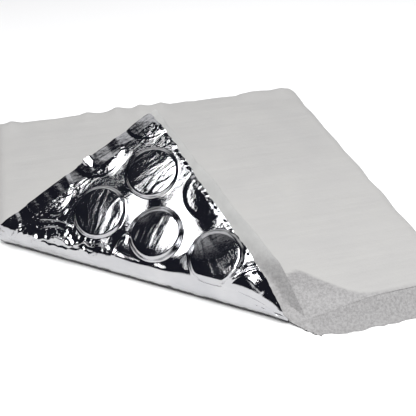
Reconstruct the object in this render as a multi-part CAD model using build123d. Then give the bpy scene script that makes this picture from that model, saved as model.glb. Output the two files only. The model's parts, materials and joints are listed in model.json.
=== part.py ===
from build123d import *
import os
from math import atan2, ceil, cos, hypot, radians, sin, sqrt

# A laminated air-cell pad with one corner turned up and over along a diagonal fold.
# Millimetres. +X runs along the near edge, +Y towards the far edge, +Z up.
# The origin is the centre of the flat crown of the cell nearest the pad's middle,
# on the underside, which is the plane that the pad rests on.

# The sheet
PAD_WIDTH = 266.0
PAD_DEPTH = 280.0

# The layers, from the top down
FACING_THICKNESS = 0.6
FOAM_THICKNESS = 2.0
BASE_FILM_THICKNESS = 0.5
CELL_FILM_THICKNESS = 0.4
FOIL_THICKNESS = 0.4
PAD_THICKNESS = 12.0

# The air cells: round domes on a hexagonal lattice, its rows along the left edge
CELL_PITCH = 41.0
CELL_COLUMN_STEP = CELL_PITCH * sqrt(3) / 2
CELL_CROWN_RADIUS = 7.0
CELL_RADIUS = 17.0
FILM_TO_FOIL_GAP = 0.05
FIRST_COLUMN_FROM_LEFT = 38.0
FIRST_ROW_FROM_NEAR = 27.0
COLUMNS_TO_ORIGIN = 3

# The welded margins and the turned-down strip along the near edge
SIDE_SEAL_WIDTH = 5.0
LEFT_SEAL_WIDTH = 14.0
STRIP_WIDTH = 9.3
STRIP_CREASE = 9.0
STRIP_FOOT = 0.9
STRIP_DROP = 1.1

# The fold, measured along the two edges from the corner that is turned up
FOLD_ALONG_NEAR = 174.0
FOLD_ALONG_LEFT = 130.5
FOLD_ANGLE = 144.5
FOLD_CLEARANCE = 0.3

# Heights of the layers' faces above the ground
FACING_TOP = PAD_THICKNESS
FOAM_TOP = FACING_TOP - FACING_THICKNESS
BASE_TOP = FOAM_TOP - FOAM_THICKNESS
CELL_TOP = BASE_TOP - BASE_FILM_THICKNESS
FOIL_TOP = CELL_TOP - CELL_FILM_THICKNESS
FOIL_BOTTOM = FOIL_TOP - FOIL_THICKNESS

# The sheet's edges, from the origin cell
LEFT = -(FIRST_COLUMN_FROM_LEFT + COLUMNS_TO_ORIGIN * CELL_COLUMN_STEP)
NEAR = -(FIRST_ROW_FROM_NEAR + CELL_PITCH * COLUMNS_TO_ORIGIN - CELL_PITCH / 2)
RIGHT = LEFT + PAD_WIDTH
FAR = NEAR + PAD_DEPTH

# The fold line runs from the near edge to the left edge
FOLD_LENGTH = hypot(FOLD_ALONG_NEAR, FOLD_ALONG_LEFT)
FOLD_START = (LEFT + FOLD_ALONG_NEAR, NEAR)
TO_CORNER = (-FOLD_ALONG_LEFT / FOLD_LENGTH, -FOLD_ALONG_NEAR / FOLD_LENGTH)
FOLD_AXIS = Axis(
    (FOLD_START[0], FOLD_START[1], FACING_TOP + FOLD_CLEARANCE / 2),
    (-FOLD_ALONG_NEAR / FOLD_LENGTH, FOLD_ALONG_LEFT / FOLD_LENGTH, 0),
)


def beyond_fold(x, y):
    """How far a point is past the fold line, towards the turned-up corner."""
    return (x - FOLD_START[0]) * TO_CORNER[0] + (y - FOLD_START[1]) * TO_CORNER[1]


def fold_crossings(left, near, offset):
    """Where a line beside the fold line meets a near edge and a left edge."""
    x = FOLD_START[0] + (offset - (near - FOLD_START[1]) * TO_CORNER[1]) / TO_CORNER[0]
    y = FOLD_START[1] + (offset - (left - FOLD_START[0]) * TO_CORNER[0]) / TO_CORNER[1]
    return (x, near), (left, y)


def pad_outline(left, near, right, far):
    """A rectangle without the part that folds up."""
    on_near, on_left = fold_crossings(left, near, -FOLD_CLEARANCE / 2)
    return [on_near, (right, near), (right, far), (left, far), on_left]


def corner_outline(left, near):
    """The triangle that folds up."""
    on_near, on_left = fold_crossings(left, near, FOLD_CLEARANCE / 2)
    return [(left, near), on_near, on_left]


def rectangle(left, near, right, far):
    return [(left, near), (right, near), (right, far), (left, far)]


def slab(outline, bottom, top):
    """A flat layer between two heights."""
    face = Face(Wire.make_polygon([Vector(x, y, bottom) for x, y in outline]))
    if face.normal_at().Z < 0:
        face = -face
    return Solid.extrude(face, Vector(0, 0, top - bottom))


def cell_centres(outline_test):
    """The lattice points whose whole cell passes the test."""
    columns = ceil(PAD_WIDTH / CELL_COLUMN_STEP)
    rows = ceil(PAD_DEPTH / CELL_PITCH)
    centres = []
    for column in range(-columns, columns + 1):
        shift = CELL_PITCH / 2 if column % 2 else 0
        for row in range(-rows, rows + 1):
            x = column * CELL_COLUMN_STEP
            y = row * CELL_PITCH + shift
            if outline_test(x, y):
                centres.append((x, y))
    return centres


def inside_margins(x, y):
    """Whether a whole cell fits between the welded margins."""
    across = LEFT + LEFT_SEAL_WIDTH + CELL_RADIUS <= x <= RIGHT - SIDE_SEAL_WIDTH - CELL_RADIUS
    along = NEAR + STRIP_WIDTH + CELL_RADIUS <= y <= FAR - SIDE_SEAL_WIDTH - CELL_RADIUS
    return across and along


def on_pad(x, y):
    return inside_margins(x, y) and beyond_fold(x, y) <= -CELL_RADIUS - FOLD_CLEARANCE / 2


def on_corner(x, y):
    return inside_margins(x, y) and beyond_fold(x, y) >= CELL_RADIUS + FOLD_CLEARANCE / 2


def dome(outer_offset, thickness, slab_bottom, slab_top):
    """A dome-shaped shell of one film, hanging from its slab at the origin cell.

    outer_offset is how far its outer face lies inside the foil's outer face.
    """
    reach = CELL_RADIUS - CELL_CROWN_RADIUS
    arc_radius = (reach**2 + FOIL_BOTTOM**2) / (2 * FOIL_BOTTOM)
    outer = arc_radius - outer_offset
    inner = outer - thickness

    def on_arc(radius, height):
        return CELL_CROWN_RADIUS + sqrt(radius**2 - (arc_radius - height) ** 2)

    def mid_arc(radius, height):
        end = atan2(height - arc_radius, on_arc(radius, height) - CELL_CROWN_RADIUS)
        half = (end + radians(-90)) / 2
        return (CELL_CROWN_RADIUS + radius * cos(half), arc_radius + radius * sin(half))

    foot = on_arc(outer, slab_bottom)
    crown = (CELL_CROWN_RADIUS, arc_radius - outer)
    crown_inside = (CELL_CROWN_RADIUS, arc_radius - inner)
    inner_foot = (on_arc(inner, slab_top), slab_top)
    with BuildSketch(Plane.XZ) as profile:
        with BuildLine():
            Line((0, crown[1]), crown)
            ThreePointArc(crown, mid_arc(outer, slab_bottom), (foot, slab_bottom))
            Line((foot, slab_bottom), (foot, slab_top))
            Line((foot, slab_top), inner_foot)
            ThreePointArc(inner_foot, mid_arc(inner, slab_top), crown_inside)
            Line(crown_inside, (0, crown_inside[1]))
            Line((0, crown_inside[1]), (0, crown[1]))
        make_face()
    return revolve(profile.sketch, Axis.Z), foot


def formed_film(outline, centres, outer_offset, thickness, bottom, top):
    """A slab with a dome hanging from it at each centre."""
    shell, foot = dome(outer_offset, thickness, bottom, top)
    places = [Pos(x, y, 0) for x, y in centres]
    holes = [place * Pos(0, 0, (bottom + top) / 2) * Cylinder(foot, top - bottom) for place in places]
    return (slab(outline, bottom, top) - holes) + [place * shell for place in places]


def strip_section(outline):
    """The turned-down strip along the near edge, inside an outline."""
    points = [
        (NEAR + STRIP_WIDTH, FACING_TOP),
        (NEAR + STRIP_CREASE, FACING_TOP),
        (NEAR, FACING_THICKNESS),
        (NEAR, 0),
        (NEAR + STRIP_FOOT, 0),
        (NEAR + STRIP_WIDTH, FACING_TOP - STRIP_DROP),
    ]
    face = Face(Wire.make_polygon([Vector(LEFT, y, z) for y, z in points]))
    return Solid.extrude(face, Vector(PAD_WIDTH, 0, 0)) & slab(outline, 0, FACING_TOP)


def turned_up(part):
    """Folds a flat piece of the corner up and over to where it stands."""
    return part.rotate(FOLD_AXIS, FOLD_ANGLE)


STRIP_INNER = NEAR + STRIP_WIDTH
SEAL_INNER = LEFT + LEFT_SEAL_WIDTH

FACE_OUTLINE = pad_outline(LEFT, STRIP_INNER, RIGHT, FAR)
CORE_OUTLINE = pad_outline(SEAL_INNER, STRIP_INNER, RIGHT - SIDE_SEAL_WIDTH, FAR - SIDE_SEAL_WIDTH)
CORNER_FACE_OUTLINE = corner_outline(LEFT, STRIP_INNER)
CORNER_CORE_OUTLINE = corner_outline(SEAL_INNER, STRIP_INNER)


def layers(face_outline, core_outline, centres):
    """The five layers of one body, from the facing down to the foil."""
    return {
        "facing_sheet": slab(face_outline, FOAM_TOP, FACING_TOP),
        "foam_sheet": slab(core_outline, BASE_TOP, FOAM_TOP),
        "cell_base_film": slab(core_outline, CELL_TOP, BASE_TOP),
        "cell_film": formed_film(
            core_outline, centres, FOIL_THICKNESS + FILM_TO_FOIL_GAP, CELL_FILM_THICKNESS, FOIL_TOP, CELL_TOP
        ),
        "foil_skin": formed_film(face_outline, centres, 0, FOIL_THICKNESS, FOIL_BOTTOM, FOIL_TOP),
    }


def left_seal(outline):
    """The wide weld along the left edge, between the foil and the facing."""
    side = rectangle(LEFT, NEAR, SEAL_INNER, FAR)
    return slab(outline, FOIL_TOP, FOAM_TOP) & slab(side, FOIL_TOP, FOAM_TOP)


pad = layers(FACE_OUTLINE, CORE_OUTLINE, cell_centres(on_pad))
pad["left_edge_seal"] = left_seal(FACE_OUTLINE)
pad["right_edge_seal"] = slab(
    rectangle(RIGHT - SIDE_SEAL_WIDTH, STRIP_INNER, RIGHT, FAR), FOIL_TOP, FOAM_TOP
)
pad["far_edge_seal"] = slab(
    rectangle(SEAL_INNER, FAR - SIDE_SEAL_WIDTH, RIGHT - SIDE_SEAL_WIDTH, FAR), FOIL_TOP, FOAM_TOP
)
pad["near_edge_strip"] = strip_section(pad_outline(LEFT, NEAR, RIGHT, FAR))

corner = layers(CORNER_FACE_OUTLINE, CORNER_CORE_OUTLINE, cell_centres(on_corner))
corner["left_edge_seal"] = left_seal(CORNER_FACE_OUTLINE)
corner["near_edge_strip"] = strip_section(corner_outline(LEFT, NEAR))

os.makedirs("parts", exist_ok=True)
for name, part in pad.items():
    export_step(part, f"parts/{name}.step")
for name, part in corner.items():
    export_step(turned_up(part), f"parts/corner_{name}.step")

print("edges", LEFT, NEAR, RIGHT, FAR)
print("cells on the pad", len(cell_centres(on_pad)), "and on the corner", len(cell_centres(on_corner)))
print("fold axis through", tuple(FOLD_AXIS.position), "along", tuple(FOLD_AXIS.direction))
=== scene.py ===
import json
import math

import bpy
import numpy as np
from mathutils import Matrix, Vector


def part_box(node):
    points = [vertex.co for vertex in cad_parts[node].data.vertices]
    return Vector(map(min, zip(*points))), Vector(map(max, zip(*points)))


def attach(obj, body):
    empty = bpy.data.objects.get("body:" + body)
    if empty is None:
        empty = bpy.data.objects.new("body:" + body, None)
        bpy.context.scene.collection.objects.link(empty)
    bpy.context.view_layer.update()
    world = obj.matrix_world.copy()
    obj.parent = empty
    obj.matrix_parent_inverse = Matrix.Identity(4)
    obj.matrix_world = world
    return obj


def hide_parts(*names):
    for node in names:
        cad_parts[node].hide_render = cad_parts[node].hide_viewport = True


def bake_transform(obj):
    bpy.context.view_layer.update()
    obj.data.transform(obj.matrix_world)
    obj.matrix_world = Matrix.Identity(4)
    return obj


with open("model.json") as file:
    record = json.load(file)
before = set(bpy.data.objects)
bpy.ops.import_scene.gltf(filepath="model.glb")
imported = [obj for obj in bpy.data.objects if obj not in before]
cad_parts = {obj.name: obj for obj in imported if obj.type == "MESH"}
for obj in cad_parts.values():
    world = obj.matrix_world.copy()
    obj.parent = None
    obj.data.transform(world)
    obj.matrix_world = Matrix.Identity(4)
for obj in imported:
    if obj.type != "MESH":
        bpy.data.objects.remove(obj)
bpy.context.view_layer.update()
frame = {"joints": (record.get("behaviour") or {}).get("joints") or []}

# A laminated air-cell pad, with its near left corner turned up and over along a diagonal fold.
# Shapes are worked out in millimetres and written to the meshes in metres.
MM = 0.001

# ------ the frame's own measures

FOLD = frame["joints"][0]
FOLD_POINT = np.array(FOLD["pos_m"]) / MM
FOLD_ALONG = np.array(FOLD["axis"][:2], float)
TO_CORNER = np.array([-FOLD_ALONG[1], FOLD_ALONG[0]])
FOLD_ANGLE = math.radians(-FOLD["range_deg"][0])
FOLD_COS, FOLD_SIN = math.cos(FOLD_ANGLE), math.sin(FOLD_ANGLE)

FACING_LOW, FACING_HIGH = (np.array(c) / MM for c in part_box("facing_sheet"))
LEFT, RIGHT, FAR = FACING_LOW[0], FACING_HIGH[0], FACING_HIGH[1]
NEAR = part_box("near_edge_strip")[0][1] / MM
TOP = FACING_HIGH[2]
FOIL_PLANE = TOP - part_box("cell_film")[1][2] / MM + 0.8
AXIS_Z = FOLD_POINT[2]
CORNER_DEPTH = float((np.array([LEFT, NEAR]) - FOLD_POINT[:2]) @ TO_CORNER)

# The air cells' lattice, whose origin cell is at the frame's origin
PITCH = 41.0
COLUMN_STEP = PITCH * math.sqrt(3) / 2
CELL_RADIUS = 17.6
CELL_HEIGHT = TOP - FOIL_PLANE - 0.2


# ------ noise

def hashed(ix, iy, seed):
    """A fixed pseudo-random number from 0 to 1 for each lattice point."""
    n = (ix * 374761393 + iy * 668265263 + seed * 974711) & 0xFFFFFFFF
    n = ((n ^ (n >> 13)) * 1274126177) & 0xFFFFFFFF
    return ((n ^ (n >> 16)) & 0xFFFFFF) / float(0x1000000)


def smooth_noise(x, y, seed):
    """Gradient noise, about -1 to 1, with features about one unit across."""
    ix, iy = np.floor(x).astype(np.int64), np.floor(y).astype(np.int64)
    fx, fy = x - ix, y - iy
    u, v = fx * fx * (3 - 2 * fx), fy * fy * (3 - 2 * fy)

    def corner(dx, dy):
        angle = hashed(ix + dx, iy + dy, seed) * 2 * math.pi
        return np.cos(angle) * (fx - dx) + np.sin(angle) * (fy - dy)

    low = corner(0, 0) * (1 - u) + corner(1, 0) * u
    high = corner(0, 1) * (1 - u) + corner(1, 1) * u
    return 1.5 * (low * (1 - v) + high * v)


def line_noise(x, size, seed):
    """The same noise along a line, with features about one size long."""
    return smooth_noise(x / size, x * 0, seed)


def ridges(x, y, seed):
    """Sharp ridges, 0 to 1, about one unit apart."""
    return 1 - np.abs(smooth_noise(x, y, seed))


def wrinkle(x, y, seed):
    """Crossing lines of wrinkles at three sizes, about 0 to 1, the largest one unit across."""
    total = 0.0
    for octave, share in enumerate((0.55, 0.3, 0.15)):
        size = 0.5**octave
        bend = 0.35 * smooth_noise(x / 1.7, y / 1.7, seed + 7)
        total = total + share * ridges(x / size + bend, y / size - bend, seed + octave) ** 3
    return total


def crumple(x, y, seed):
    """A continuous field of flat facets that meet at creases, about -0.5 to 0.5."""
    ix, iy = np.floor(x).astype(np.int64), np.floor(y).astype(np.int64)
    best = np.full(x.shape, -9.0)
    for dx in (-1, 0, 1):
        for dy in (-1, 0, 1):
            cx, cy = ix + dx, iy + dy
            px = x - cx - hashed(cx, cy, seed)
            py = y - cy - hashed(cx, cy, seed + 1)
            lean = 2 * math.pi * hashed(cx, cy, seed + 2)
            rise = 0.5 * hashed(cx, cy, seed + 3)
            far = np.sqrt(px * px + py * py)
            plane = 0.45 * (px * np.cos(lean) + py * np.sin(lean))
            best = np.maximum(best, plane + rise - 0.75 * far)
    return best


def step_up(x, start, end):
    """Rises smoothly from 0 at the start to 1 at the end."""
    t = np.clip((x - start) / (end - start), 0, 1)
    return t * t * (3 - 2 * t)


def hump(x, centre, half_width):
    """1 at the centre, falling smoothly to 0 at half_width from it."""
    return step_up(half_width - np.abs(x - centre), 0, half_width)


# ------ from the flat sheet to its place

def fold_coordinates(x, y):
    """How far along the fold line and how far past it a flat point is."""
    dx, dy = x - FOLD_POINT[0], y - FOLD_POINT[1]
    return dx * FOLD_ALONG[0] + dy * FOLD_ALONG[1], dx * TO_CORNER[0] + dy * TO_CORNER[1]


def from_fold(along, out, z):
    """Points from their distance along the fold, their distance in front of it, and their height."""
    return np.stack(
        [
            FOLD_POINT[0] + along * FOLD_ALONG[0] + out * TO_CORNER[0],
            FOLD_POINT[1] + along * FOLD_ALONG[1] + out * TO_CORNER[1],
            z,
        ],
        axis=-1,
    )


# Near the front end of the fold there is no padding, so everything there settles to the ground.
SETTLED_SHARE = 0.92
SETTLE_FROM, SETTLE_TO = 4.0, 32.0
SETTLE_ON_PAD, SETTLE_ON_FLAP = 34.0, 26.0
FLAP_NARROWING = 14.0


def settle(points, from_near, beyond):
    """Lowers points near the front end of the fold, by their flat distances from it."""
    near = 1 - step_up(from_near, SETTLE_FROM, SETTLE_TO - FLAP_NARROWING * step_up(beyond, 0, 14))
    reach = np.where(beyond > 0, SETTLE_ON_FLAP, SETTLE_ON_PAD)
    share = SETTLED_SHARE * near * (1 - step_up(np.abs(beyond), 0, reach))
    lowered = np.array(points)
    lowered[:, 2] -= share * np.minimum(lowered[:, 2], AXIS_Z)
    return lowered


def on_pad(x, y, depth):
    """A flat point at a depth under the facing, on the part that lies flat."""
    return np.stack([x, y, TOP - depth], axis=-1)


def on_flap(x, y, depth):
    """A flat point at a depth under the facing, past the fold on the turned-up corner."""
    along, beyond = fold_coordinates(x, y)
    out = beyond * FOLD_COS + depth * FOLD_SIN
    z = AXIS_Z + beyond * FOLD_SIN - depth * FOLD_COS
    return from_fold(along, out, z)


def fold_x_at(y):
    """Where the fold line is at a distance along the left edge."""
    return FOLD_POINT[0] + (y - FOLD_POINT[1]) * FOLD_ALONG[0] / FOLD_ALONG[1]


def fold_y_at(x):
    return FOLD_POINT[1] + (x - FOLD_POINT[0]) * FOLD_ALONG[1] / FOLD_ALONG[0]


# The outside of the fold: the foil leaves the ground, rises as a nearly upright band, turns
# sharply and then eases into the flap. Each entry is a length and the tilt at its end.
GROUND_TILT = -90.0
FLAP_TILT = math.degrees(FOLD_ANGLE) - 90.0
BAND_LIFT = 2.0
BAND = [(1.6, -20.0), (13.6, 13.0), (1.2, 44.0), (10.0, FLAP_TILT)]
# The foil stands a little further out where it is stretched over the corner's full cells.
FLAP_FOIL_PLANE = FOIL_PLANE + 0.9


def band_path(steps_per_mm=4):
    """The band's section: distance in front of the fold, height and tilt, from the ground to the flap."""
    out, z, tilt = 0.0, BAND_LIFT, GROUND_TILT
    rows = [(out, z, tilt)]
    for length, end_tilt in BAND:
        count = max(2, round(length * steps_per_mm))
        start_tilt = tilt
        for i in range(1, count + 1):
            tilt = start_tilt + (end_tilt - start_tilt) * i / count
            middle = math.radians(tilt - (end_tilt - start_tilt) / count / 2)
            out -= math.sin(middle) * length / count
            z += math.cos(middle) * length / count
            rows.append((out, z, tilt))
    rows = np.array(rows)
    # Slide the section so that its top lies in the flap's foil plane.
    depth = rows[-1, 0] * FOLD_SIN - (rows[-1, 1] - AXIS_Z) * FOLD_COS
    rows[:, 0] += (FLAP_FOIL_PLANE - depth) / FOLD_SIN
    return rows


def travel_along(points):
    """How far along a line each of its points is."""
    return np.concatenate([[0], np.cumsum(np.linalg.norm(np.diff(points, axis=0), axis=1))])


BAND_PATH = band_path()
BAND_TOP = sum(length for length, _ in BAND[:2])
BAND_TRAVEL = travel_along(BAND_PATH[:, :2])
BAND_LENGTH = float(BAND_TRAVEL[-1])
FLAP_START = BAND_PATH[-1, 0] * FOLD_COS + (BAND_PATH[-1, 1] - AXIS_Z) * FOLD_SIN


def on_foil(along, travel, height):
    """A point on the foil's outside: travel runs up the band and then on along the flap."""
    t = np.clip(travel, 0, BAND_LENGTH)
    out = np.interp(t, BAND_TRAVEL, BAND_PATH[:, 0])
    z = np.interp(t, BAND_TRAVEL, BAND_PATH[:, 1])
    tilt = np.radians(np.interp(t, BAND_TRAVEL, BAND_PATH[:, 2]))
    rest = np.maximum(travel - BAND_LENGTH, 0)
    out = out + rest * FOLD_COS + height * np.cos(tilt)
    z = z + rest * FOLD_SIN + height * np.sin(tilt)
    return from_fold(along, out, np.maximum(z, 0.05))


# ------ meshes

def add_object(name, data):
    thing = bpy.data.objects.new(name, data)
    bpy.context.scene.collection.objects.link(thing)
    return thing


def new_piece(name, points, faces, material):
    """A smoothly shaded mesh object from points in millimetres."""
    mesh = bpy.data.meshes.new(name)
    mesh.from_pydata((points * MM).tolist(), [], faces)
    mesh.update()
    mesh.materials.append(material)
    mesh.polygons.foreach_set("use_smooth", [True] * len(mesh.polygons))
    return add_object(name, mesh)


FACING_THICKNESS, BORDER_THICKNESS, FILM_THICKNESS = 0.5, 0.45, 0.2
# Edges sharper than this many degrees, such as a sheet's rims, are shaded as sharp.
SHARP_FROM = 60.0


def thicken(piece, thickness, other_side=0):
    """Closes a sheet with a back and rims, whose material can be its other one, and keeps the mesh."""
    solidify = piece.modifiers.new("thickness", "SOLIDIFY")
    solidify.thickness = thickness * MM
    solidify.material_offset = other_side
    graph = bpy.context.evaluated_depsgraph_get()
    mesh = bpy.data.meshes.new_from_object(piece.evaluated_get(graph))
    mesh.set_sharp_from_angle(angle=math.radians(SHARP_FROM))
    piece.modifiers.clear()
    open_sheet = piece.data
    piece.data = mesh
    bpy.data.meshes.remove(open_sheet)


def zip_rows(rows):
    """Triangles between neighbouring rows of points, each row a (first index, positions) pair."""
    faces = []
    for (a0, a), (b0, b) in zip(rows, rows[1:]):
        i = j = 0
        while i < len(a) - 1 or j < len(b) - 1:
            next_a = a[i + 1] if i < len(a) - 1 else math.inf
            next_b = b[j + 1] if j < len(b) - 1 else math.inf
            if next_a <= next_b:
                faces.append((a0 + i, a0 + i + 1, b0 + j))
                i += 1
            else:
                faces.append((a0 + i, b0 + j + 1, b0 + j))
                j += 1
    return faces


def grid_faces(rows, count, closed=True):
    """Quads between neighbouring rows of count points, round each row too if they are closed."""
    return [
        (r * count + k, r * count + (k + 1) % count, (r + 1) * count + (k + 1) % count, (r + 1) * count + k)
        for r in range(rows - 1)
        for k in range(count if closed else count - 1)
    ]


def tube_faces(rings, count):
    """The faces of a tube through closed rings of count points, with both its ends closed."""
    last = (rings - 1) * count
    ends = [tuple(reversed(range(count))), tuple(range(last, last + count))]
    return grid_faces(rings, count) + ends


def row_points(start, end, spacing, must_have=()):
    """Positions from start to end on a fixed lattice, with both ends and some points exact."""
    inner = np.arange(math.ceil(start / spacing), math.floor(end / spacing) + 1) * spacing
    fixed = [start, end, *must_have]
    keep = [v for v in inner if min(abs(v - f) for f in fixed) > 0.35 * spacing and start < v < end]
    return np.array(sorted(set(keep + fixed)))


def lay_rows(levels, ends, spacing):
    """Flat rows of points for zip_rows, each at a y of the levels from one x to another."""
    rows, points = [], []
    for y in levels:
        start, end = ends(y)
        if end - start < spacing:
            break
        x = row_points(start, end, spacing)
        rows.append((len(points), x))
        points.extend((v, y) for v in x)
    return rows, np.array(points).T


# ------ materials

# Values on a mesh's points that some materials read
BORDER_ATTRIBUTE, LINING_ATTRIBUTE, PAINTED_SHADOW_ATTRIBUTE = "border", "lining_grain_and_painted_shade", "painted_shadow"
FACING_LIGHT, FACING_DARK = (0.425, 0.42, 0.41), (0.40, 0.395, 0.39)
# The border's darker grain tones: partly its own grain, partly painted shade of its slope and of the fold's
# front end
BORDER_GRAIN_AND_SHADE_LIGHT, BORDER_GRAIN_AND_SHADE_DARK = (0.34, 0.335, 0.335), (0.235, 0.23, 0.23)
LINING_LIGHT, LINING_DARK = (0.44, 0.44, 0.43), (0.37, 0.37, 0.365)
METAL_LIGHT, METAL_DARK = (0.50, 0.50, 0.508), (0.43, 0.432, 0.45)
# Painted contact shadow: the near-black painted on the foil along the foot of the band, where it meets the
# ground
PAINTED_SHADOW_LIGHT, PAINTED_SHADOW_DARK = (0.02, 0.02, 0.022), (0.01, 0.01, 0.012)


def set_attribute(piece, name, values):
    attribute = piece.data.attributes.new(name, "FLOAT", "POINT")
    attribute.data.foreach_set("value", np.asarray(values, np.float32))


def node_material(name):
    """A new material with its node tree and its shader."""
    material = bpy.data.materials.new(name)
    material.use_nodes = True
    tree = material.node_tree
    return material, tree, tree.nodes["Principled BSDF"]


def noise_value(tree, scale, detail, roughness, stretch=(1, 1, 1)):
    """The value, 0 to 1, of a noise in the piece's own coordinates."""
    place = tree.nodes.new("ShaderNodeTexCoord")
    mapping = tree.nodes.new("ShaderNodeMapping")
    mapping.inputs["Scale"].default_value = stretch
    noise = tree.nodes.new("ShaderNodeTexNoise")
    noise.inputs["Scale"].default_value = scale
    noise.inputs["Detail"].default_value = detail
    noise.inputs["Roughness"].default_value = roughness
    tree.links.new(place.outputs["Object"], mapping.inputs["Vector"])
    tree.links.new(mapping.outputs["Vector"], noise.inputs["Vector"])
    return noise.outputs["Fac"]


def ramp_between(tree, source, low, high, start=0.3, end=0.7):
    """Turns a value into a colour between two, or a grey level between two."""
    ramp = tree.nodes.new("ShaderNodeValToRGB")
    ramp.color_ramp.elements[0].position = start
    ramp.color_ramp.elements[1].position = end
    ramp.color_ramp.elements[0].color = (*low, 1)
    ramp.color_ramp.elements[1].color = (*high, 1)
    tree.links.new(source, ramp.inputs["Fac"])
    return ramp.outputs["Color"]


def bump_from(tree, source, strength, distance, after=None):
    bump = tree.nodes.new("ShaderNodeBump")
    bump.inputs["Strength"].default_value = strength
    bump.inputs["Distance"].default_value = distance
    tree.links.new(source, bump.inputs["Height"])
    if after is not None:
        tree.links.new(after, bump.inputs["Normal"])
    return bump.outputs["Normal"]


def mix_by(tree, share, first, second):
    """A colour between two sockets' colours."""
    mix = tree.nodes.new("ShaderNodeMix")
    mix.data_type = "RGBA"
    tree.links.new(share, mix.inputs["Factor"])
    tree.links.new(first, mix.inputs["A"])
    tree.links.new(second, mix.inputs["B"])
    return mix.outputs["Result"]


def add_border_grain_and_shade(tree, plain, attribute):
    """A colour that gives way to the border's darker grain where a mesh's attribute says so; the darker
    tone is partly painted shade.
    """
    speckle = noise_value(tree, 620, 3, 0.75)
    grainy = ramp_between(tree, speckle, BORDER_GRAIN_AND_SHADE_DARK, BORDER_GRAIN_AND_SHADE_LIGHT, 0.36, 0.64)
    border = tree.nodes.new("ShaderNodeAttribute")
    border.attribute_name = attribute
    return mix_by(tree, border.outputs["Fac"], plain, grainy)


def facing_material(name, grain):
    """Matte spun film with a faint stretched wrinkle; where its attribute says so, grainy and darker, the
    darker tone partly painted shade.
    """
    material, tree, shader = node_material(name)
    mottle = noise_value(tree, 28, 5, 0.6)
    plain = ramp_between(tree, mottle, FACING_DARK, FACING_LIGHT)
    tree.links.new(add_border_grain_and_shade(tree, plain, BORDER_ATTRIBUTE), shader.inputs["Base Color"])
    fine = noise_value(tree, 1400, 3, 0.7)
    long = noise_value(tree, 60, 3, 0.5, (0.25, 2.2, 1))
    normal = bump_from(tree, long, 0.5, 0.0012)
    normal = bump_from(tree, fine, grain, 0.0004, normal)
    tree.links.new(normal, shader.inputs["Normal"])
    rough = ramp_between(tree, fine, (0.5,) * 3, (0.68,) * 3)
    tree.links.new(rough, shader.inputs["Roughness"])
    shader.inputs["Specular IOR Level"].default_value = 0.35
    return material


def foil_material():
    """Metallised film: a crinkled mirror, duller where rubbed, and painted near-black where a contact
    shadow is painted on.
    """
    material, tree, shader = node_material("metallised_film")
    shader.inputs["Metallic"].default_value = 1.0
    tint = noise_value(tree, 45, 3, 0.6)
    metal = ramp_between(tree, tint, METAL_DARK, METAL_LIGHT)
    # Painted contact shadow: near-black where the mesh's attribute says so
    black = ramp_between(tree, tint, PAINTED_SHADOW_DARK, PAINTED_SHADOW_LIGHT)
    painted_shadow = tree.nodes.new("ShaderNodeAttribute")
    painted_shadow.attribute_name = PAINTED_SHADOW_ATTRIBUTE
    tree.links.new(mix_by(tree, painted_shadow.outputs["Fac"], metal, black), shader.inputs["Base Color"])
    rub = noise_value(tree, 160, 6, 0.65)
    rough = ramp_between(tree, rub, (0.04,) * 3, (0.15,) * 3, 0.35, 0.75)
    tree.links.new(rough, shader.inputs["Roughness"])
    crackle = tree.nodes.new("ShaderNodeTexVoronoi")
    crackle.feature = "DISTANCE_TO_EDGE"
    crackle.inputs["Scale"].default_value = 420
    fine = noise_value(tree, 1300, 4, 0.65)
    scratches = noise_value(tree, 260, 4, 0.7, (0.35, 2.4, 1.2))
    normal = bump_from(tree, crackle.outputs["Distance"], 0.08, 0.0005)
    normal = bump_from(tree, scratches, 0.16, 0.0006, normal)
    normal = bump_from(tree, fine, 0.14, 0.0003, normal)
    tree.links.new(normal, shader.inputs["Normal"])
    return material


def grained_material(name, noise, dark, light, bump, roughness):
    """A material whose one noise (scale, detail, roughness) gives both its mottle and its grain."""
    material, tree, shader = node_material(name)
    grain = noise_value(tree, *noise)
    tree.links.new(ramp_between(tree, grain, dark, light), shader.inputs["Base Color"])
    tree.links.new(bump_from(tree, grain, *bump), shader.inputs["Normal"])
    shader.inputs["Roughness"].default_value = roughness
    return material


def lining_material():
    """The facing's laminated inside: pale, half glossy and slightly rippled."""
    material, tree, shader = node_material("laminated_lining")
    cloud = noise_value(tree, 70, 4, 0.6)
    plain = ramp_between(tree, cloud, LINING_DARK, LINING_LIGHT)
    tree.links.new(add_border_grain_and_shade(tree, plain, LINING_ATTRIBUTE), shader.inputs["Base Color"])
    ripple = noise_value(tree, 130, 3, 0.5)
    tree.links.new(bump_from(tree, ripple, 0.45, 0.0008), shader.inputs["Normal"])
    shader.inputs["Roughness"].default_value = 0.5
    return material


def floor_material():
    material, tree, shader = node_material("pale_floor")
    shade = noise_value(tree, 3, 2, 0.5)
    colour = ramp_between(tree, shade, (0.90, 0.90, 0.90), (0.92, 0.92, 0.92))
    tree.links.new(colour, shader.inputs["Base Color"])
    shader.inputs["Roughness"].default_value = 0.9
    shader.inputs["Specular IOR Level"].default_value = 0.1
    return material


FACING = facing_material("matte_facing", grain=0.3)
# The border: its own grain, with its darker tone partly painted shade
BORDER = facing_material("border_grain_and_painted_shade", grain=0.9)
FOIL = foil_material()
FOAM = grained_material(
    "closed_cell_foam", (900, 5, 0.7), (0.74, 0.74, 0.72), (0.86, 0.86, 0.84), (0.5, 0.0004), 0.85
)
CLEAR = grained_material(
    "clear_film", (90, 4, 0.6), (0.78, 0.80, 0.82), (0.88, 0.89, 0.90), (0.2, 0.0006), 0.22
)
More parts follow.
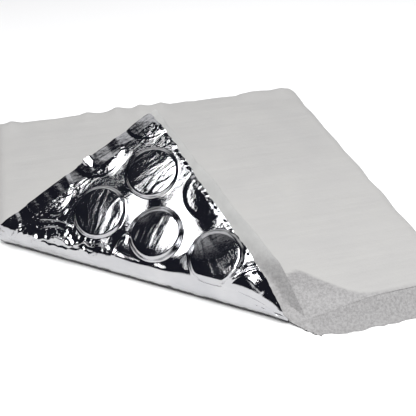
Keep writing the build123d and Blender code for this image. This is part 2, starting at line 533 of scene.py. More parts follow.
# The welds are film pressed into crimped beads: a dull grey gloss with a fine grain.
WELD = grained_material(
    "pressed_weld", (650, 4, 0.65), (0.34, 0.34, 0.35), (0.46, 0.46, 0.46), (0.5, 0.0004), 0.42
)
LINING = lining_material()
FLOOR = floor_material()


# ------ the facing

FACING_SPACING = 2.0
SEAM_FROM_NEAR = 11.5
CORNER_ROUNDING = 9.0
# How far in from its edges the facing wanders with them, turns down and lifts
WANDER_REACH, LEFT_WANDER = 14.0, 0.7
TURN_REACH, TURN_ON_PAD, TURN_ON_FLAP = 6.0, 2.4, 0.9
LIFT_REACH = 26.0
# The facing runs on a little way under the near border.
UNDERLAP, UNDERLAP_DEPTH = 1.2, 0.3
# Painted shade: the border's darker grainy tone is spread over the facing towards the front end of the
# fold, where the facing lies in shade.
SPREAD_FROM, SPREAD_SLOPE, SPREAD_EASE = 25.0, 1.3, 6.0
SPREAD_MOST = 40.0
# The noise seeds of the facing's edges
RIGHT_SEED, FAR_SEED, LEFT_SEED = 1, 2, 3


def edge_wave(position, seed):
    """How far an edge wanders from straight: shallow scallops over the cells, and smaller kinks."""
    scallops = 0.9 * np.abs(np.sin(np.pi * position / PITCH + 0.6 * seed))
    return scallops - 0.9 + 0.5 * smooth_noise(position / 17.0, position * 0 + seed, 7 + seed)


def facing_relief(x, y):
    """The height of the facing's soft waves and faint wrinkles."""
    waves = 0.5 * smooth_noise(x / 60.0, y / 45.0, 11) + 0.25 * smooth_noise(x / 24.0, y / 20.0, 12)
    return waves + 0.10 * ridges(x / 45.0, y / 7.0, 13)


def round_corner(x, y):
    """Draws the square far right corner in to a rounded one."""
    u = np.clip(1 - (RIGHT - x) / CORNER_ROUNDING, 0, 1)
    v = np.clip(1 - (FAR - y) / CORNER_ROUNDING, 0, 1)
    x = x - CORNER_ROUNDING * u * (1 - np.sqrt(1 - v * v / 2))
    y = y - CORNER_ROUNDING * v * (1 - np.sqrt(1 - u * u / 2))
    return x, y


def far_edge_lift(x):
    """The far edge doesn't lie flat: it lifts and kinks a little."""
    kinks = 4.2 * ridges(x / 30.0, x * 0 + 0.5, 17) + 1.2 * line_noise(x, 12.0, 18)
    return np.maximum(3.4 * line_noise(x, 60.0, 16) + kinks - 2.2, -0.1)


def border_width(x, along, beyond):
    """How wide the grainy border's tone is painted; beside the fold's front end, on the pad only, it widens
    as painted shade.
    """
    inside = (SPREAD_FROM - (x - FOLD_POINT[0])) / SPREAD_EASE
    spread = SPREAD_SLOPE * SPREAD_EASE * np.logaddexp(0, inside)
    beside = (1 - step_up(beyond, -12, 8)) * (1 - step_up(along, 22, 40))
    return SEAM_FROM_NEAR + np.minimum(spread, SPREAD_MOST) * beside


def build_facing():
    """The grey top sheet, over the pad and on over the fold."""
    rows, points = [], []
    for y in row_points(NEAR + SEAM_FROM_NEAR - UNDERLAP, FAR, FACING_SPACING):
        fold_x = fold_x_at(y)
        fixed = [fold_x, fold_x - 1.0, fold_x + 1.0] if LEFT + 2 < fold_x else []
        x = row_points(LEFT, RIGHT, FACING_SPACING, fixed)
        rows.append((len(points), x))
        points.extend((v, y) for v in x)
    flat_x, flat_y = np.array(points).T
    beyond = fold_coordinates(flat_x, flat_y)[1]
    # The outer edges wander, and turn down a little towards the weld.
    to_right, to_far, to_left = RIGHT - flat_x, FAR - flat_y, flat_x - LEFT
    x, y = round_corner(flat_x, flat_y)
    x = x + edge_wave(y, RIGHT_SEED) * step_up(WANDER_REACH - to_right, 0, WANDER_REACH)
    x = x - LEFT_WANDER * edge_wave(y, LEFT_SEED) * step_up(WANDER_REACH - to_left, 0, WANDER_REACH)
    y = y + edge_wave(x, FAR_SEED) * step_up(WANDER_REACH - to_far, 0, WANDER_REACH)
    rim = np.minimum(np.minimum(to_right, to_far), to_left)
    turn_down = np.where(beyond > 0, TURN_ON_FLAP, TURN_ON_PAD) * np.clip(1 - rim / TURN_REACH, 0, 1) ** 2
    fade = step_up(np.abs(beyond), 0, 12)
    depth = turn_down - facing_relief(x, y) * fade * step_up(rim, 0, 10)
    depth -= far_edge_lift(x) * step_up(LIFT_REACH - to_far, 0, LIFT_REACH) * (beyond < 0)
    under_border = step_up(NEAR + SEAM_FROM_NEAR - flat_y, 0, UNDERLAP)
    depth += under_border * np.where(beyond < 0, UNDERLAP_DEPTH, -0.1)
    along, beyond = fold_coordinates(x, y)
    past_fold = (beyond > 0)[:, None]
    place = np.where(past_fold, on_flap(x, y, np.maximum(depth, -0.4)), on_pad(x, y, depth))
    place = settle(place, flat_y - NEAR, beyond)
    piece = new_piece("facing", place, zip_rows(rows), FACING)
    # The border's grainy tone on the facing, spread beside the fold's front end as painted shade
    inside = border_width(flat_x, along, beyond) - (flat_y - NEAR)
    set_attribute(piece, BORDER_ATTRIBUTE, step_up(inside, -1.0, 1.5))
    return piece


facing = build_facing()
thicken(facing, FACING_THICKNESS)


# ------ the near border

BORDER_SPACING = 1.5
BORDER_STEPS = 14
BORDER_DROP, BORDER_REACH = 11.5, 3.0
BORDER_EASE = (-0.35, 1.15)
# It is calm within this distance of the fold, where it bends round a small radius.
BORDER_CALM, BEND_RADIUS, FOLD_STEPS = 12.0, 0.15, 24
FLAP_CURL = 2.2


def border_ripple(x):
    """How far the border's lower edge wanders from straight."""
    return 1.3 * line_noise(x, 7.0, 51) + 0.6 * line_noise(x, 2.6, 55) + 1.9 * line_noise(x, 22.0, 52)


def evenly(row, count):
    """The same line with a set number of evenly spaced points."""
    travel = travel_along(row[:, :3])
    at = np.linspace(0, travel[-1], count)
    return np.stack([np.interp(at, travel, column) for column in row.T], axis=1)


def border_drop(share):
    """How far the border has come down, at a share of its width from its seam."""
    eased = step_up(share, *BORDER_EASE) / step_up(1.0, *BORDER_EASE)
    return BORDER_DROP * (eased - step_up(0.0, *BORDER_EASE) * (1 - share))


def border_on_pad(x, b, share):
    """A line of the border, at a flat distance b from the near edge, on its way to the ground."""
    away = step_up(x - fold_x_at(NEAR + b), 0, BORDER_CALM)
    y = NEAR + b + share * (border_ripple(x) - BORDER_REACH) * away
    crumples = share * 0.8 * crumple(x / 7.0, y / 5.0, 53) * away
    line = on_pad(x, y, np.clip(border_drop(share) + crumples, 0, BORDER_DROP))
    return settle(line, b + 0 * x, fold_coordinates(x, NEAR + b)[1])


def border_bend(b, share):
    """The same line's bend around the fold."""
    turn = np.linspace(0, 1, FOLD_STEPS + 1)[1:-1]
    radius = BEND_RADIUS + FLAP_CURL * share * turn
    tilt = np.radians(-90) + turn * FOLD_ANGLE
    along = fold_coordinates(fold_x_at(NEAR + b), NEAR + b)[0]
    line = from_fold(along, radius * np.cos(tilt), AXIS_Z - border_drop(share) + radius * np.sin(tilt))
    return settle(line, b + 0 * turn, 0 * turn)


def border_on_flap(x, b, share):
    """The same line on the turned-up corner, and how far past the fold its points are."""
    y = NEAR + b + 0.4 * share * border_ripple(x) * step_up(fold_x_at(NEAR + b) - x, 0, BORDER_CALM)
    beyond = fold_coordinates(x, y)[1]
    line = on_flap(x, y, share * (FLAP_CURL + 0.3 * crumple(x / 6.0, y / 5.0, 54)))
    line[:, 2] -= border_drop(share) * (1 - step_up(beyond, 0, SETTLE_ON_FLAP))
    return settle(line, b + 0 * x, fold_coordinates(x, NEAR + b)[1]), beyond


def build_border():
    """The unpadded border along the near edge: it slopes to the ground, and lies flat on the flap."""
    rows = []
    for share in np.linspace(0, 1, BORDER_STEPS + 1):
        b = SEAM_FROM_NEAR * (1 - share)
        fold_x = fold_x_at(NEAR + b)
        pad = border_on_pad(row_points(fold_x, RIGHT, BORDER_SPACING)[::-1], b, share)
        bend = border_bend(b, share)
        flap, beyond = border_on_flap(row_points(LEFT, fold_x, BORDER_SPACING)[::-1], b, share)
        past_fold = np.concatenate([np.zeros(len(pad) + len(bend)), beyond])
        rows.append(np.column_stack([np.concatenate([pad, bend, flap]), past_fold]))
    count = min(len(row) for row in rows)
    grid = np.array([evenly(row, count) for row in rows])
    faces = grid_faces(len(grid), count, closed=False)
    piece = new_piece("near_border", grid[:, :, :3].reshape(-1, 3), faces, BORDER)
    piece.data.materials.append(LINING)
    # Its lining is painted grainy and darker beside the fold too, partly as painted shade there, and paler
    # further along the flap.
    set_attribute(piece, LINING_ATTRIBUTE, 1 - step_up(grid[:, :, 3].ravel(), 12, 40))
    set_attribute(piece, BORDER_ATTRIBUTE, np.ones(len(piece.data.vertices)))
    return piece


border = build_border()
thicken(border, BORDER_THICKNESS, other_side=1)


# ------ the foil's relief on the flap

def cell_centres():
    for column in range(-5, 6):
        for row in range(-5, 6):
            yield column * COLUMN_STEP, (row + (0.5 if column % 2 else 0)) * PITCH


def dome(x, y, cx, cy, height, wall_share, wall_width):
    """A full cell: a gently crowned top and a steep wall."""
    r = np.minimum(np.hypot(x - cx, y - cy) / CELL_RADIUS, 1)
    wall = step_up(1 - r, 0, wall_width)
    return height * (wall_share * wall + (1 - wall_share) * (1 - r * r))


def streaks(x, y, seed, angle, width, length):
    """Long narrow wrinkles in one direction."""
    c, s = math.cos(math.radians(angle)), math.sin(math.radians(angle))
    u, v = x * c + y * s, -x * s + y * c
    bend = 0.8 * smooth_noise(u / 14, v / 14, seed + 5)
    return ridges(u / length, v / width + bend, seed)


def crease(x, y, start, end, width, bow):
    """A sharp ridge along a line from one point to another, bowed sideways by some distance."""
    (x0, y0), (x1, y1) = start, end
    length = math.hypot(x1 - x0, y1 - y0)
    ux, uy = (x1 - x0) / length, (y1 - y0) / length
    u = ((x - x0) * ux + (y - y0) * uy) / length
    v = -(x - x0) * uy + (y - y0) * ux - bow * 4 * u * (1 - u)
    across = np.clip(1 - np.abs(v) / width, 0, 1)
    return across * step_up(u, -0.02, 0.1) * step_up(1 - u, -0.02, 0.1)


# The flap's full cells, by their distances from the left and near edges: how high each still
# stands, how much of its radius its wall takes, the direction of its wrinkles in degrees from
# the near edge, how strong they are, and how much its top leans to the left.
FLAP_CELLS = {
    (38, 26): (2.6, 0.13, 86.0, 0.8, 0.02),
    (37, 68): (2.8, 0.13, 62.0, 1.0, 0.00),
    (73, 47): (4.4, 0.19, 60.0, 0.9, 0.06),
    (109, 27): (4.2, 0.19, 12.0, 0.4, 0.10),
}


def nearest_cell(a, b):
    """The place of the cell of FLAP_CELLS that is nearest."""
    return min(FLAP_CELLS, key=lambda centre: math.hypot(centre[0] - a, centre[1] - b))


# The welded hem along the flap's left edge, by distances from the left edge (a) and the near one (b)
HEM_WIDTH = 11.5
HEM_DROOP, HEM_DROOP_FROM = 0.20, 12.0
HEM_WELD_AT, HEM_WELD_HALF = 15.0, 5.0
HEM_WELD_FROM, HEM_WELD_TO = 26.0, 104.0
# Its seam lines: how far in each is, its half width and its height
SEAM_LINES = [(11.6, 0.9, 0.75), (14.2, 0.8, 0.60)]
SEAM_FROM = 60.0
# One smooth pucker is drawn out to the edge here, narrow at the hem and wide at the edge.
PUCKER_AT, PUCKER_START, PUCKER_NECK, PUCKER_SPREAD = 55.5, 10.5, 1.2, 2.6


def hem_relief(a, b):
    """The welded edge strip at the left: it droops, with a pucker, seams and a beaded weld."""
    hem = step_up(HEM_WIDTH - a, 0, 2.5)
    droop = -HEM_DROOP * np.clip(HEM_DROOP_FROM - a, 0, HEM_DROOP_FROM)
    cross = 0.6 * smooth_noise(a / 30.0, b / 9.0, 33) + 0.14 * wrinkle(a / 3.0, b / 9.0, 34)
    weld = hump(a, HEM_WELD_AT, HEM_WELD_HALF)
    weld = weld * step_up(b, HEM_WELD_FROM, HEM_WELD_FROM + 8) * step_up(HEM_WELD_TO - b, 0, 10)
    beads = 0.34 * wrinkle(a / 2.4, b / 4.2, 31)
    wander = 0.7 * line_noise(b, 16.0, 35)
    seam = np.zeros_like(a)
    for at, half_width, tall in SEAM_LINES:
        seam = np.maximum(seam, tall * np.clip(1 - np.abs(a - at - wander) / half_width, 0, 1))
    plain = droop + hem * cross + weld * beads + seam * step_up(b, SEAM_FROM, SEAM_FROM + 10)
    half_width = PUCKER_NECK + PUCKER_SPREAD * step_up(PUCKER_START - a, 0, 9)
    pucker = step_up(half_width - np.abs(b - PUCKER_AT), 0, 1.3) * step_up(HEM_WIDTH - a, 0, 3)
    stretched = -1.9 + 0.15 * (9 - a) + 0.15 * (b - 52)
    return plain * (1 - pucker) + stretched * pucker


# Patches where the stretched film leans: a centre (a, b), half its length and width, and a slope.
# A small positive slope, to the right, mirrors a light; a negative or a steep one mirrors the dark.
LEANING_PATCHES = [
    (50, 47, 11, 10, 0.10),
    (77, 32, 17, 10, 0.06),
    (17, 40, 7, 9, 0.08),
    (101, 54, 12, 9, -0.10),
    (60, 68, 7, 8, -0.10),
    (90, 66, 14, 7, -0.10),
    (78, 14, 12, 8, -0.12),
    (142, 17, 14, 10, 0.32),
]
# Towards the fold's front end the foil rises a little.
RISE_FROM, RISE_LENGTH, RISE_SLOPE = 94.0, 26.0, 0.10


def leaning_patches(a, b):
    """The lean of the film between the full cells."""
    height = RISE_SLOPE * np.clip(a - RISE_FROM, 0, RISE_LENGTH)
    for centre_a, centre_b, half_a, half_b, slope in LEANING_PATCHES:
        lean = slope * (np.clip(centre_a - a, -half_a, half_a) + np.clip(b - centre_b, -half_b, half_b))
        height += lean * hump(b, centre_b, 1.6 * half_b) * hump(a, centre_a, 1.8 * half_a)
    return height


# Creases: two ends (a, b), a height, a half width and a bow.
CREASES = [
    # The double crease near the fold's front end, and the stiff fold beside it
    ((127, 6), (123, 48), 1.2, 1.3, 1.5),
    ((130, 8), (125, 46), 0.9, 1.1, 1.5),
    ((130, 20), (141, 16), 0.8, 1.8, 0.0),
    # Long ones that run out of the crushed far end of the fold
    ((13, 118), (40, 92), 0.8, 1.0, 2.0),
    ((16, 104), (34, 88), 0.8, 1.0, -1.5),
    ((20, 112), (58, 84), 0.8, 1.0, 3.0),
    ((18, 96), (22, 84), 0.8, 1.0, 2.5),
    ((30, 104), (44, 96), 0.8, 1.0, -2.0),
    ((44, 94), (62, 76), 0.8, 1.0, -1.5),
    # Two that close an oval between the cells
    ((62, 62), (67, 77), 0.8, 1.2, 2.0),
    ((62, 62), (67, 77), 0.8, 1.2, -2.0),
]

FULL_CELL_PAST_FOLD = 14.0
SLACK_CELL_HEIGHT = 0.9
WALL_SHARE = 0.74


def cell_relief(x, y):
    """The flap's cells with their wrinkles, and a mask that is 1 on the tops of the full ones."""
    height = np.zeros_like(x)
    tops = np.zeros_like(x)
    for i, (cx, cy) in enumerate(cell_centres()):
        ca, cb = cx - LEFT, cy - NEAR
        beyond = fold_coordinates(cx, cy)[1]
        if beyond < -CELL_RADIUS or ca < 0 or cb < -CELL_RADIUS:
            continue
        full = min(ca, cb) > CELL_RADIUS and beyond > FULL_CELL_PAST_FOLD
        tall, wall, angle, strength, lean = FLAP_CELLS[nearest_cell(ca, cb)]
        if not full:
            tall = SLACK_CELL_HEIGHT
        bump = dome(x, y, cx, cy, tall, WALL_SHARE, wall)
        height += bump
        if not full:
            height += 0.10 * step_up(bump, 0, 0.5) * wrinkle(x / 3.4, y / 2.0, 63)
            continue
        mask = step_up(bump, 0.2 * tall, 0.9 * tall)
        tops = np.maximum(tops, mask)
        # The broad wrinkles fade towards the cell's left, and the finest ones don't.
        calm = strength * (0.25 + 0.75 * step_up(x - cx, -11, 7))
        broad = 0.40 * (streaks(x, y, 40 + i, angle, 5.2, 45) - 0.7)
        narrow = 0.13 * (streaks(x, y, 70 + i, angle - 10, 2.2, 34) - 0.7)
        finest = 0.10 * (streaks(x, y, 90 + i, angle + 8, 1.6, 22) - 0.7)
        height += mask * (lean * (x - cx) + calm * (broad + narrow) + finest)
    return height, tops


def crumpled_share(a, b, beyond):
    """How crumpled the film is: least in the middle, more along the margins and at the corners."""
    near_margin = step_up(16 - b, 0, 6) * step_up(a, 48, 60) * step_up(124 - a, 0, 8)
    fold_end = step_up(b, 78, 92) * step_up(a, 14, 24)
    along_fold = step_up(14 - beyond, 0, 8) * step_up(70 - a, 0, 14)
    corner_tip = step_up(24 - b, 0, 12) * step_up(24 - a, 0, 8)
    return 0.06 + 0.3 * near_margin + 0.30 * fold_end + 0.4 * along_fold + 0.2 * corner_tip


# The near margin curls up a little, out to where the slack cell is cut through.
CURL_WIDTH, CURL_SLOPE = 24.0, 0.06
CURL_FROM, CURL_EASE = 56.0, 14.0
# The foil comes down to the border at its own near edge.
EDGE_DROP, EDGE_DROP_OVER = 1.0, 2.5
# The foil sinks no lower than this, and the hem a little lower.
LOWEST, LOWEST_IN_HEM = -1.2, -3.2


def flap_relief(x, y):
    """The foil's height over its base plane: full cells, slack cells, crinkles and welds."""
    a, b = x - LEFT, y - NEAR
    height, tops = cell_relief(x, y)
    height += leaning_patches(a, b) + hem_relief(a, b)
    slanted = wrinkle((a * 0.55 + b * 0.83) / 9.0, (b * 0.55 - a * 0.83) / 4.0, 25)
    crumples = 0.7 * crumple(x / 8.0, y / 6.0, 21) + 0.8 * slanted - 0.4
    height += (1 - tops) * crumpled_share(a, b, fold_coordinates(x, y)[1]) * crumples
    curl = np.clip(CURL_WIDTH - b, 0, CURL_WIDTH) * step_up(a, CURL_FROM, CURL_FROM + CURL_EASE)
    height += CURL_SLOPE * curl
    for start, end, tall, half_width, bow in CREASES:
        height += tall * crease(a, b, start, end, half_width, bow)
    height -= EDGE_DROP * step_up(EDGE_DROP_OVER - b + foil_edge(a), 0, EDGE_DROP_OVER)
    return np.maximum(height, np.where(a > HEM_WELD_AT, LOWEST, LOWEST_IN_HEM))


# How far the foil stops short of the near edge, at some distances from the left edge
FOIL_STOPS = [(0, 4.0), (30, 4.0), (50, 6.0), (75, 8.0), (115, 10.0), (150, 11.5), (157, 12.5)]


def foil_edge(a):
    """How far the foil stops short of the near edge on the flap: a torn line."""
    return np.interp(a, *zip(*FOIL_STOPS)) + 0.6 * line_noise(a, 3.0, 91) + 0.8 * line_noise(a, 11.0, 92)


FLAP_SPACING = 0.6
# Towards its far end the band's top is crushed: from here leftwards, and this far down.
CRUSHED_FROM, CRUSHED_EASE, CRUSHED_DEPTH = 76.0, 26.0, 9.0
# How far up the band from the ground the painted contact shadow reaches
PAINTED_SHADOW_WIDTH = 2.8


def foil_row_start(level):
    """Where a row across the flap meets the foil's torn edge, as a distance along the fold."""
    start = level * TO_CORNER[1] / -FOLD_ALONG[1]
    for _ in range(4):
        a = FOLD_POINT[0] + start * FOLD_ALONG[0] + level * TO_CORNER[0] - LEFT
        start = (float(foil_edge(np.array([a]))[0]) - level * TO_CORNER[1]) / FOLD_ALONG[1]
    return start


def build_flap_foil():
    """The foil from the ground, up the band and over the whole turned-up corner."""
    rows, points = [], []
    apex_travel = BAND_LENGTH + CORNER_DEPTH - FLAP_START
    for travel in row_points(0, apex_travel, FLAP_SPACING):
        beyond = travel - BAND_LENGTH + FLAP_START
        level = float(np.clip(beyond, 0, None))
        start = foil_row_start(level)
        end = (LEFT - FOLD_POINT[0] - level * TO_CORNER[0]) / FOLD_ALONG[0]
        if end - start < 1.0:
            break
        s = row_points(start, end, FLAP_SPACING)
        rows.append((len(points), s))
        points.extend((v, travel, beyond) for v in s)
    along, travel, beyond = np.array(points).T
    x, y, _ = from_fold(along, beyond, 0 * along).T
    height = flap_relief(x, y)
    # The band itself is smooth, but for the far end of the fold, where its top is crushed.
    to_crushed_end = step_up(CRUSHED_FROM - (x - LEFT), 0, CRUSHED_EASE)
    smooth_to = BAND_TOP - CRUSHED_DEPTH * to_crushed_end
    height *= step_up(travel, smooth_to - 1.0, smooth_to + 3.5)
    smudges = 0.55 * wrinkle(along / 13.0, travel / 5.0, 95) ** 2
    height += smudges * step_up(travel, 1, 5) * (1 - step_up(travel, BAND_TOP - 4, BAND_TOP))
    # The fold's crease wanders, most of all towards its crushed far end.
    wander = 0.4 * line_noise(along, 15.0, 93) + 2.2 * line_noise(along, 6.0, 94) * to_crushed_end
    place = on_foil(along, travel + wander * hump(travel, BAND_TOP, 8.0), height)
    place = settle(place, y - NEAR, beyond)
    piece = new_piece("flap_foil", place, zip_rows(rows), FOIL)
    # Painted contact shadow: the foil is painted near-black along the crease where it leaves the ground.
    painted_shadow_to = PAINTED_SHADOW_WIDTH + 1.5 * line_noise(along, 9.0, 97) + 0.8 * line_noise(along, 3.0, 98)
    set_attribute(piece, PAINTED_SHADOW_ATTRIBUTE, step_up(painted_shadow_to - travel, -0.4, 0.4))
    return piece


flap_foil = build_flap_foil()
thicken(flap_foil, FILM_THICKNESS)


# ------ the foil's underside

UNDERSIDE_SPACING = 1.3
UNDERSIDE_INSET, UNDERSIDE_FROM_NEAR = 1.0, 4.0
# It runs down to where the band in front of the fold starts, this far before the fold line.
UNDERSIDE_TO_FOLD, DIP_FROM, DIP_TO = 3.0, -15.0, -3.2
CUT_CELL_HEIGHT = 2.4
UNDERSIDE_WALL_SHARE, UNDERSIDE_WALL = 0.6, 0.28
# Beside the near border it rises to this far under the facing.
RISE_GAP, RISE_OVER = 0.4, 7.0


def underside_ends(y):
    before_fold = fold_x_at(y) + UNDERSIDE_TO_FOLD / -TO_CORNER[0]
    return max(LEFT + UNDERSIDE_INSET, before_fold), RIGHT - UNDERSIDE_INSET


def build_underside():
    """The foil under the part that lies flat: every cell, the margins and the dip to the fold."""
    levels = row_points(NEAR + UNDERSIDE_FROM_NEAR, FAR - UNDERSIDE_INSET, UNDERSIDE_SPACING)
    rows, (x, y) = lay_rows(levels, underside_ends, UNDERSIDE_SPACING)
    beyond = fold_coordinates(x, y)[1]
    height = np.zeros_like(x)
    for i, (cx, cy) in enumerate(cell_centres()):
        to_edge = min(cx - LEFT, RIGHT - cx, cy - NEAR, FAR - cy)
        from_fold_line = -fold_coordinates(cx, cy)[1]
        if to_edge < -CELL_RADIUS or from_fold_line < -CELL_RADIUS:
            continue
        full = to_edge > CELL_RADIUS and from_fold_line > CELL_RADIUS
        tall = CELL_HEIGHT if full else CUT_CELL_HEIGHT
        bump = dome(x, y, cx, cy, tall, UNDERSIDE_WALL_SHARE, UNDERSIDE_WALL)
        height += bump
        mask = step_up(bump, 0, tall * 0.9)
        height -= mask * 0.35 * streaks(x, y, 80 + i, 50 + 40 * math.sin(i), 5.5, 20)
    height += 0.25 * crumple(x / 6.0, y / 6.0, 71)
    rim = np.minimum(np.minimum(RIGHT - x, FAR - y), x - LEFT)
    height = height * step_up(rim, 1, 9) - 0.5 * step_up(6 - rim, 0, 5)
    height += (TOP - FOIL_PLANE - RISE_GAP) * step_up(NEAR + SEAM_FROM_NEAR - y, 0, RISE_OVER)
    down_to_fold = step_up(beyond, DIP_FROM, DIP_TO)
    floor_height = TOP - FOIL_PLANE - BAND_PATH[0, 1]
    height = height * (1 - down_to_fold) + floor_height * down_to_fold
    z = np.maximum(TOP - FOIL_PLANE - height, 0.25)
    place = settle(np.stack([*round_corner(x, y), z], axis=1), y - NEAR, beyond)
    # The rows run along +X and the foil faces down, so the faces are turned over.
    faces = [face[::-1] for face in zip_rows(rows)]
    return new_piece("underside_foil", place, faces, FOIL)


underside = build_underside()
thicken(underside, FILM_THICKNESS)


# ------ the film the cells are sealed to

BASE_FILM_DEPTH = 2.75
BASE_FILM_SPACING = 4.0
FILM_INSET, FILM_LEFT_INSET = 6.0, 14.0
FILM_BEFORE_FOLD, FILM_PAST_FOLD = 3.0, 6.0


def pad_film_ends(y):
    return max(LEFT + FILM_LEFT_INSET, fold_x_at(y) + FILM_BEFORE_FOLD), RIGHT - FILM_INSET


def corner_film_ends(y):
    return LEFT + FILM_LEFT_INSET, fold_x_at(y) - FILM_PAST_FOLD


def build_base_film(name, ends, place):
    """The flat film behind the cells, with its rows' ends and the function that places it."""
    levels = row_points(NEAR + SEAM_FROM_NEAR + 1, FAR - FILM_INSET, BASE_FILM_SPACING)
    rows, (x, y) = lay_rows(levels, ends, BASE_FILM_SPACING)
    ripple = 0.12 * smooth_noise(x / 20.0, y / 20.0, 77)
    placed = place(x, y, BASE_FILM_DEPTH + ripple)
    placed = settle(placed, y - NEAR, fold_coordinates(x, y)[1])
    return new_piece(name, placed, zip_rows(rows), CLEAR)


base_film = build_base_film("base_film", pad_film_ends, on_pad)
thicken(base_film, FILM_THICKNESS)
corner_base_film = build_base_film("corner_base_film", corner_film_ends, on_flap)
thicken(corner_base_film, FILM_THICKNESS)


# ------ the foam

FOAM_SECTION = [(0.985, 0.7), (1.0, 0.95), (1.0, 2.2), (0.985, 2.45)]
FOAM_RINGS = 10


def build_foam(name, outline, place):
    """A foam slab inside an outline of flat points, placed by a function of x, y and depth."""
    rim = [np.array(p) for p in outline]
    centre = sum(rim) / len(rim)
    loop = []
    for start, end in zip(rim, rim[1:] + rim[:1]):
        count = max(2, round(float(np.linalg.norm(end - start)) / 4.0))
        loop += [start + (end - start) * k / count for k in range(count)]
    loop = np.array(loop)
    top = [(k / FOAM_RINGS, FOAM_SECTION[0][1]) for k in range(1, FOAM_RINGS)]
    bottom = [(k / FOAM_RINGS, FOAM_SECTION[-1][1]) for k in range(FOAM_RINGS - 1, 0, -1)]
    section = top + FOAM_SECTION + bottom
    rings = []
    for share, depth in section:
        flat = centre + (loop - centre) * share
        beyond = fold_coordinates(flat[:, 0], flat[:, 1])[1]
        placed = place(flat[:, 0], flat[:, 1], np.full(len(flat), depth))
        rings.append(settle(placed, flat[:, 1] - NEAR, beyond))
    faces = [face[::-1] for face in tube_faces(len(section), len(loop))]
    return new_piece(name, np.concatenate(rings), faces, FOAM)


CORE_LEFT, CORE_NEAR = LEFT + 14.5, NEAR + SEAM_FROM_NEAR + 0.5
CORE_RIGHT, CORE_FAR = RIGHT - 6.0, FAR - 6.0
# Gaps beside the fold: the corner's core keeps well clear of its settled front end.
GAP, CORNER_GAP, FRONT_GAP, MIDDLE_GAP = 4.0, 8.0, 60.0, 12.0
MIDDLE = NEAR + 20.0

foam = build_foam(
    "foam_core",
    [
        (fold_x_at(CORE_NEAR) + GAP, CORE_NEAR),
        (CORE_RIGHT, CORE_NEAR),
        (CORE_RIGHT, CORE_FAR),
        (CORE_LEFT, CORE_FAR),
        (CORE_LEFT, fold_y_at(CORE_LEFT) + GAP),
    ],
    on_pad,
)
corner_foam = build_foam(
    "corner_foam_core",
    [
        (CORE_LEFT, CORE_NEAR),
        (fold_x_at(CORE_NEAR) - FRONT_GAP, CORE_NEAR),
        (fold_x_at(MIDDLE) - MIDDLE_GAP, MIDDLE),
        (CORE_LEFT, fold_y_at(CORE_LEFT) - CORNER_GAP),
    ],
    on_flap,
)


# ------ the welds along the edges

WELD_WIDTH = 5.0
WELD_TOP, WELD_BOTTOM = 1.6, 4.2
WELD_SPACING = 1.2
CRIMP = 3.2


def build_weld(name, start, end, inwards, seed, share=1.0, lift=None):
    """A crimped weld along one straight edge: a flat bead with a pinched rim.

    It wanders with the facing's edge, whose seed and share of the wandering are given, and
    it is lifted with it.
    """
    start, end, inwards = (np.array(value, float) for value in (start, end, inwards))
    length = float(np.linalg.norm(end - start))
    count = round(length / WELD_SPACING)
    section = [(0.0, 0.5), (0.8, 0.1), (2.6, 0.0), (WELD_WIDTH, 0.15)]
    section += [(across, 1 - drop) for across, drop in reversed(section)][:-1]
    rings = []
    for i in range(count + 1):
        base = start + (end - start) * i / count
        travel = length * i / count
        pinch = 0.16 * (1 + math.sin(2 * math.pi * travel / CRIMP)) + 0.1 * math.sin(travel / 5.3)
        # Where the ring is along the edge: the coordinate that isn't across it.
        position = base[np.abs(inwards) < 0.5]
        shift = -share * float(edge_wave(position, seed)[0])
        top = TOP - WELD_TOP + (float(lift(position)[0]) if lift else 0.0)
        ring = []
        for across, level in section:
            crimped = 0.5 + (level - 0.5) * (1 - pinch)
            flat = base + inwards * (across + shift + 0.2)
            ring.append((*flat, top - (WELD_BOTTOM - WELD_TOP) * crimped))
        rings.append(ring)
    faces = tube_faces(len(rings), len(section))
    return new_piece(name, np.array(rings).reshape(-1, 3), faces, WELD)


SHORT = CORNER_ROUNDING / 2
near_end, far_end = (RIGHT, NEAR + SEAM_FROM_NEAR), (RIGHT, FAR - SHORT)
right_weld = build_weld("right_weld", near_end, far_end, (-1, 0), RIGHT_SEED)
right_end, left_end = (RIGHT - SHORT, FAR), (LEFT + 1, FAR)
far_weld = build_weld("far_weld", right_end, left_end, (0, -1), FAR_SEED, lift=far_edge_lift)
far_end, near_end = (LEFT, FAR - 1), (LEFT, fold_y_at(LEFT) + 4)
left_weld = build_weld("left_weld", far_end, near_end, (1, 0), LEFT_SEED, share=LEFT_WANDER)


# ------ what each piece is


def blend_over_fold(piece):
    """Writes a piece's placement into its mesh; the piece's shape already runs over the fold."""
    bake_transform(piece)


blend_over_fold(facing)
blend_over_fold(border)
blend_over_fold(flap_foil)
for piece in (underside, base_film, foam, right_weld, far_weld, left_weld):
    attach(piece, "pad")
for piece in (corner_foam, corner_base_film):
    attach(piece, "corner")

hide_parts("facing_sheet", "corner_facing_sheet")
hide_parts("near_edge_strip", "corner_near_edge_strip")
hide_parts("corner_foil_skin", "corner_cell_film", "corner_left_edge_seal")
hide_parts("foil_skin", "cell_film")
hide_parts("cell_base_film")
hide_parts("corner_cell_base_film")
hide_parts("foam_sheet")
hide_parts("corner_foam_sheet")
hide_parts("right_edge_seal")
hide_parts("far_edge_seal")
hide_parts("left_edge_seal")


# ------ stage, light, camera

FLOOR_REACH, FLOOR_DROP = 6.0, 0.0002
# The soft key light overhead is a bank of long strips: how far in front each is, and its width.
KEY_STRIPS = [(-0.28, 0.22), (-0.68, 0.18), (-1.10, 0.24)]
KEY_MIDDLE, KEY_HEIGHT, KEY_LENGTH = 0.05, 1.6, 1.8
KEY_POWER = 89.0
REAR_PLACE, REAR_SIZE, REAR_POWER = (-0.2, 1.7, 1.7), (2.4, 1.6), 11.0
WORLD_COLOUR = (0.018, 0.019, 0.028, 1)
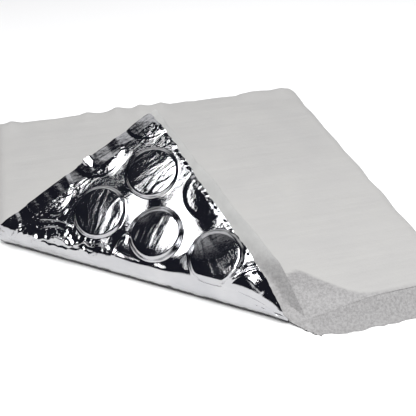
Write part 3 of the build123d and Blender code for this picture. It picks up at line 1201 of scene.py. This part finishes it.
# The camera's angles are in degrees, its distance and target in metres and its lens in millimetres.
CAMERA_AZIMUTH, CAMERA_ELEVATION, CAMERA_DISTANCE = -15.57, 36.74, 0.4415
CAMERA_TARGET = (-0.0007, 0.0029, 0.0)
LENS, SENSOR_WIDTH, CLIP_START = 53.0, 36.0, 0.01


def add_floor():
    mesh = bpy.data.meshes.new("floor")
    corners = [(x * FLOOR_REACH, y * FLOOR_REACH, 0) for x, y in ((-1, -1), (1, -1), (1, 1), (-1, 1))]
    mesh.from_pydata(corners, [], [(0, 1, 2, 3)])
    mesh.materials.append(FLOOR)
    floor = add_object("floor", mesh)
    floor.location.z = -FLOOR_DROP


def add_area_light(name, place, target, size, power):
    light = bpy.data.lights.new(name, "AREA")
    light.shape = "RECTANGLE"
    light.size, light.size_y = size
    light.energy = power
    lamp = add_object(name, light)
    lamp.location = place
    lamp.rotation_euler = (Vector(target) - Vector(place)).to_track_quat("-Z", "Y").to_euler()


def add_lights():
    for number, (across, width) in enumerate(KEY_STRIPS):
        place = (KEY_MIDDLE, across, KEY_HEIGHT)
        below = (KEY_MIDDLE, across, 0)
        add_area_light(f"key_{number}", place, below, (KEY_LENGTH, width), KEY_POWER * width)
    add_area_light("rear", REAR_PLACE, (0, 0, 0), REAR_SIZE, REAR_POWER)
    world = bpy.data.worlds.new("world")
    bpy.context.scene.world = world
    world.use_nodes = True
    world.node_tree.nodes["Background"].inputs["Color"].default_value = WORLD_COLOUR


def add_camera():
    azimuth, elevation = math.radians(CAMERA_AZIMUTH), math.radians(CAMERA_ELEVATION)
    level = math.cos(elevation)
    back = Vector((math.sin(azimuth) * level, -math.cos(azimuth) * level, math.sin(elevation)))
    data = bpy.data.cameras.new("camera")
    data.lens = LENS
    data.sensor_width = SENSOR_WIDTH
    data.clip_start = CLIP_START
    camera = add_object("camera", data)
    camera.location = Vector(CAMERA_TARGET) + back * CAMERA_DISTANCE
    camera.rotation_euler = (-back).to_track_quat("-Z", "Y").to_euler()
    bpy.context.scene.camera = camera


add_floor()
add_lights()
add_camera()
bpy.context.scene.view_settings.view_transform = "Standard"
